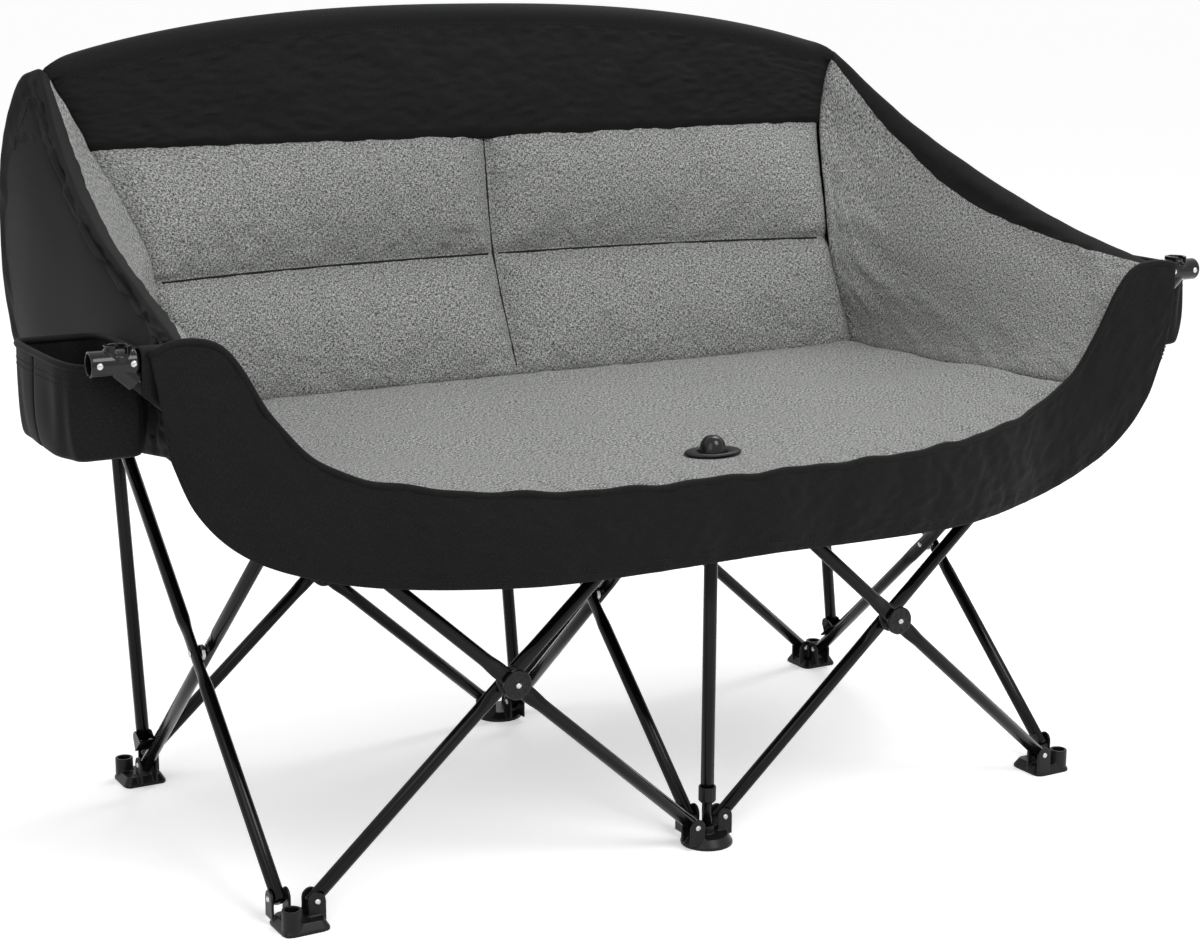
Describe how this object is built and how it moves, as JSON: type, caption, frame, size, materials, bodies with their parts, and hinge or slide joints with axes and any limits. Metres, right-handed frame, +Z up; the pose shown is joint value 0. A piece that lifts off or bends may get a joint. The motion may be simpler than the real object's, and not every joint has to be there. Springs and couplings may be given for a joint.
{
  "type": "folding camping loveseat",
  "caption": "Two-place folding camping chair: padded grey and black fabric bucket with cup holders on a scissor-folding black steel tube frame.",
  "frame": {"origin": "on the floor under the middle of the chair's outline", "axes": "+X to the right as seen from the front, -Y to the front, +Z up"},
  "size_m": [1.498, 0.7821, 0.9518],
  "materials": {
    "black_tube": "satin-gloss black powder coat",
    "black_plastic": "satin moulded black",
    "gloss_plastic": "gloss moulded black",
    "steel": "bright zinc-plated steel",
    "grey_cloth": "grey melange linen-look weave",
    "black_cloth": "black fine-weave polyester"
  },
  "bodies": {
    "base": {"front_middle_foot": "black_plastic", "post_rod": "black_tube"},
    "left_arm": {"left_arm_tube": "black_tube", "left_arm_end": "gloss_plastic", "left_arm_sleeve": "black_cloth", "front_left_hub_disc": "black_plastic"},
    "right_arm": {"right_arm_tube": "black_tube", "right_arm_end": "gloss_plastic", "right_arm_sleeve": "black_cloth", "front_right_hub_spacer": "black_plastic"},
    "front_left_leg": {"front_left_leg_tube": "black_tube", "front_left_hub_spacer": "black_plastic"},
    "front_right_leg": {"front_right_leg_tube": "black_tube", "front_right_hub_disc": "black_plastic"},
    "front_left_foot": {"front_left_foot": "black_plastic"},
    "front_right_foot": {"front_right_foot": "black_plastic"},
    "front_hub": {"front_centre_hub": "black_plastic", "post_tube": "black_tube", "post_collar": "black_plastic"},
    "front_left_bracket": {"front_left_bracket": "black_plastic", "left_cup_holder": "black_cloth"},
    "front_right_bracket": {"front_right_bracket": "black_plastic", "right_cup_holder": "black_cloth"},
    "left_side_back": {"left_side_tube_to_back": "black_tube", "left_side_pivot": "steel"},
    "left_side_front": {"left_side_tube_to_front": "black_tube", "left_upright_bracket": "steel"},
    "rear_left_foot": {"rear_left_foot": "black_plastic"},
    "rear_left_collar": {"rear_left_collar": "black_plastic"},
    "left_upright": {"left_upright": "black_tube", "left_wing": "grey_cloth"},
    "middle_side_back": {"middle_side_tube_to_back": "black_tube", "middle_side_pivot": "steel"},
    "middle_side_front": {"middle_side_tube_to_front": "black_tube", "middle_upright_bracket": "steel"},
    "rear_middle_foot": {"rear_middle_foot": "black_plastic"},
    "rear_middle_collar": {"rear_middle_collar": "black_plastic"},
    "middle_upright": {"middle_upright": "black_tube"},
    "right_side_back": {"right_side_tube_to_back": "black_tube", "right_side_pivot": "steel"},
    "right_side_front": {"right_side_tube_to_front": "black_tube", "right_upright_bracket": "steel"},
    "rear_right_foot": {"rear_right_foot": "black_plastic"},
    "rear_right_collar": {"rear_right_collar": "black_plastic"},
    "right_upright": {"right_upright": "black_tube", "right_wing": "grey_cloth"},
    "rear_left_inner": {"rear_left_inner_tube": "black_tube", "rear_left_hub_disc": "black_plastic"},
    "rear_left_leg": {"rear_left_leg_tube": "black_tube", "rear_left_hub_spacer": "black_plastic"},
    "rear_right_inner": {"rear_right_inner_tube": "black_tube", "rear_right_hub_spacer": "black_plastic"},
    "rear_right_leg": {"rear_right_leg_tube": "black_tube", "rear_right_hub_disc": "black_plastic"},
    "seat_front": {"seat_front": "grey_cloth", "seat_grommet": "black_plastic"},
    "skirt": {"front_skirt": "black_cloth"},
    "seat_rear": {"seat_rear": "grey_cloth"},
    "back": {"back_panel": "black_cloth", "back_cushion": "grey_cloth"}
  },
  "joints": [
    {"name": "fold", "type": "hinge", "parent": "base", "child": "left_arm", "pos_m": [-0.024, -0.2592, 0.028], "axis": [0, 1, 0], "range_deg": [0, 46], "deforming": ["seat_front", "seat_grommet", "seat_rear", "front_skirt", "back_panel", "back_cushion", "left_wing", "right_wing", "left_cup_holder", "right_cup_holder"]},
    {"name": "right_arm_pivot", "type": "hinge", "parent": "base", "child": "right_arm", "pos_m": [0.024, -0.2428, 0.028], "axis": [0, 1, 0], "range_deg": [-46.5, 0]},
    {"name": "front_left_leg_pivot", "type": "hinge", "parent": "left_arm", "child": "front_left_leg", "pos_m": [-0.26, -0.251, 0.239], "axis": [0, 1, 0], "range_deg": [-92.5, 0]},
    {"name": "front_left_foot_pivot", "type": "hinge", "parent": "front_left_leg", "child": "front_left_foot", "pos_m": [-0.496, -0.2428, 0.028], "axis": [0, 1, 0], "range_deg": [0, 46.5]},
    {"name": "front_hub_pivot", "type": "hinge", "parent": "front_left_leg", "child": "front_hub", "pos_m": [-0.024, -0.2428, 0.45], "axis": [0, 1, 0], "range_deg": [0, 46.5]},
    {"name": "front_right_leg_pivot", "type": "hinge", "parent": "right_arm", "child": "front_right_leg", "pos_m": [0.26, -0.251, 0.239], "axis": [0, 1, 0], "range_deg": [0, 92.5]},
    {"name": "front_right_foot_pivot", "type": "hinge", "parent": "front_right_leg", "child": "front_right_foot", "pos_m": [0.496, -0.2592, 0.028], "axis": [0, 1, 0], "range_deg": [-46.5, 0]},
    {"name": "front_left_bracket_pivot", "type": "hinge", "parent": "left_arm", "child": "front_left_bracket", "pos_m": [-0.496, -0.2592, 0.45], "axis": [0, 1, 0], "range_deg": [-46.5, 0]},
    {"name": "front_right_bracket_pivot", "type": "hinge", "parent": "right_arm", "child": "front_right_bracket", "pos_m": [0.496, -0.2428, 0.45], "axis": [0, 1, 0], "range_deg": [0, 46.5]},
    {"name": "left_side_back_pivot", "type": "hinge", "parent": "front_left_foot", "child": "left_side_back", "pos_m": [-0.5282, -0.221, 0.028], "axis": [1, 0, 0], "range_deg": [0, 46.5]},
    {"name": "left_side_front_pivot", "type": "hinge", "parent": "left_side_back", "child": "left_side_front", "pos_m": [-0.52, 0.015, 0.239], "axis": [1, 0, 0], "range_deg": [-92.5, 0]},
    {"name": "rear_left_foot_pivot", "type": "hinge", "parent": "left_side_front", "child": "rear_left_foot", "pos_m": [-0.5118, 0.251, 0.028], "axis": [1, 0, 0], "range_deg": [0, 46.5]},
    {"name": "rear_left_collar_pivot", "type": "hinge", "parent": "left_side_back", "child": "rear_left_collar", "pos_m": [-0.5282, 0.251, 0.45], "axis": [1, 0, 0], "range_deg": [-46.5, 0]},
    {"name": "left_upright_pivot", "type": "hinge", "parent": "left_side_front", "child": "left_upright", "pos_m": [-0.52, 0.23451, 0.06957], "axis": [1, 0, 0], "range_deg": [0, 53]},
    {"name": "middle_side_back_pivot", "type": "hinge", "parent": "base", "child": "middle_side_back", "pos_m": [-0.0082, -0.221, 0.028], "axis": [1, 0, 0], "range_deg": [0, 46.5]},
    {"name": "middle_side_front_pivot", "type": "hinge", "parent": "middle_side_back", "child": "middle_side_front", "pos_m": [0, 0.015, 0.239], "axis": [1, 0, 0], "range_deg": [-92.5, 0]},
    {"name": "rear_middle_foot_pivot", "type": "hinge", "parent": "middle_side_front", "child": "rear_middle_foot", "pos_m": [0.0082, 0.251, 0.028], "axis": [1, 0, 0], "range_deg": [0, 46.5]},
    {"name": "rear_middle_collar_pivot", "type": "hinge", "parent": "middle_side_back", "child": "rear_middle_collar", "pos_m": [-0.0082, 0.251, 0.45], "axis": [1, 0, 0], "range_deg": [-46.5, 0]},
    {"name": "middle_upright_pivot", "type": "hinge", "parent": "middle_side_front", "child": "middle_upright", "pos_m": [0, 0.23451, 0.06957], "axis": [1, 0, 0], "range_deg": [0, 53]},
    {"name": "right_side_back_pivot", "type": "hinge", "parent": "front_right_foot", "child": "right_side_back", "pos_m": [0.5282, -0.221, 0.028], "axis": [1, 0, 0], "range_deg": [0, 46.5]},
    {"name": "right_side_front_pivot", "type": "hinge", "parent": "right_side_back", "child": "right_side_front", "pos_m": [0.52, 0.015, 0.239], "axis": [1, 0, 0], "range_deg": [-92.5, 0]},
    {"name": "rear_right_foot_pivot", "type": "hinge", "parent": "right_side_front", "child": "rear_right_foot", "pos_m": [0.5118, 0.251, 0.028], "axis": [1, 0, 0], "range_deg": [0, 46.5]},
    {"name": "rear_right_collar_pivot", "type": "hinge", "parent": "right_side_back", "child": "rear_right_collar", "pos_m": [0.5282, 0.251, 0.45], "axis": [1, 0, 0], "range_deg": [-46.5, 0]},
    {"name": "right_upright_pivot", "type": "hinge", "parent": "right_side_front", "child": "right_upright", "pos_m": [0.52, 0.23451, 0.06957], "axis": [1, 0, 0], "range_deg": [0, 53]},
    {"name": "rear_left_inner_pivot", "type": "hinge", "parent": "rear_middle_foot", "child": "rear_left_inner", "pos_m": [-0.024, 0.2728, 0.028], "axis": [0, 1, 0], "range_deg": [0, 46.5]},
    {"name": "rear_left_leg_pivot", "type": "hinge", "parent": "rear_left_inner", "child": "rear_left_leg", "pos_m": [-0.26, 0.281, 0.239], "axis": [0, 1, 0], "range_deg": [-92.5, 0]},
    {"name": "rear_right_inner_pivot", "type": "hinge", "parent": "rear_middle_foot", "child": "rear_right_inner", "pos_m": [0.024, 0.2892, 0.028], "axis": [0, 1, 0], "range_deg": [-46.5, 0]},
    {"name": "rear_right_leg_pivot", "type": "hinge", "parent": "rear_right_inner", "child": "rear_right_leg", "pos_m": [0.26, 0.281, 0.239], "axis": [0, 1, 0], "range_deg": [0, 92.5]},
    {"name": "seat_front_fold", "type": "hinge", "parent": "front_hub", "child": "seat_front", "pos_m": [0, -0.251, 0.465], "axis": [1, 0, 0], "range_deg": [0, 82.5]},
    {"name": "skirt_fold", "type": "hinge", "parent": "seat_front", "child": "skirt", "pos_m": [0, -0.385, 0.47], "axis": [1, 0, 0], "range_deg": [-82.5, 0]},
    {"name": "seat_rear_fold", "type": "hinge", "parent": "rear_middle_collar", "child": "seat_rear", "pos_m": [0, 0.281, 0.465], "axis": [1, 0, 0], "range_deg": [-82.5, 0]},
    {"name": "back_fold", "type": "hinge", "parent": "middle_upright", "child": "back", "pos_m": [0, 0.3665, 0.9], "axis": [1, 0, 0], "range_deg": [0, 9.5]}
  ],
  "couplings": [
    {"joint": "right_arm_pivot", "follows": "fold", "ratio": -1},
    {"joint": "front_left_leg_pivot", "follows": "fold", "ratio": -2},
    {"joint": "front_left_foot_pivot", "follows": "fold", "ratio": 1},
    {"joint": "front_hub_pivot", "follows": "fold", "ratio": 1},
    {"joint": "front_right_leg_pivot", "follows": "fold", "ratio": 2},
    {"joint": "front_right_foot_pivot", "follows": "fold", "ratio": -1},
    {"joint": "front_left_bracket_pivot", "follows": "fold", "ratio": -1},
    {"joint": "front_right_bracket_pivot", "follows": "fold", "ratio": 1},
    {"joint": "left_side_back_pivot", "follows": "fold", "ratio": 1},
    {"joint": "left_side_front_pivot", "follows": "fold", "ratio": -2},
    {"joint": "rear_left_foot_pivot", "follows": "fold", "ratio": 1},
    {"joint": "rear_left_collar_pivot", "follows": "fold", "ratio": -1},
    {"joint": "left_upright_pivot", "follows": "fold", "ratio": 1.1427},
    {"joint": "middle_side_back_pivot", "follows": "fold", "ratio": 1},
    {"joint": "middle_side_front_pivot", "follows": "fold", "ratio": -2},
    {"joint": "rear_middle_foot_pivot", "follows": "fold", "ratio": 1},
    {"joint": "rear_middle_collar_pivot", "follows": "fold", "ratio": -1},
    {"joint": "middle_upright_pivot", "follows": "fold", "ratio": 1.1427},
    {"joint": "right_side_back_pivot", "follows": "fold", "ratio": 1},
    {"joint": "right_side_front_pivot", "follows": "fold", "ratio": -2},
    {"joint": "rear_right_foot_pivot", "follows": "fold", "ratio": 1},
    {"joint": "rear_right_collar_pivot", "follows": "fold", "ratio": -1},
    {"joint": "right_upright_pivot", "follows": "fold", "ratio": 1.1427},
    {"joint": "rear_left_inner_pivot", "follows": "fold", "ratio": 1},
    {"joint": "rear_left_leg_pivot", "follows": "fold", "ratio": -2},
    {"joint": "rear_right_inner_pivot", "follows": "fold", "ratio": -1},
    {"joint": "rear_right_leg_pivot", "follows": "fold", "ratio": 2},
    {"joint": "seat_front_fold", "follows": "fold", "ratio": 1.78},
    {"joint": "skirt_fold", "follows": "fold", "ratio": -1.78},
    {"joint": "seat_rear_fold", "follows": "fold", "ratio": -1.78},
    {"joint": "back_fold", "follows": "fold", "ratio": 0.2}
  ]
}
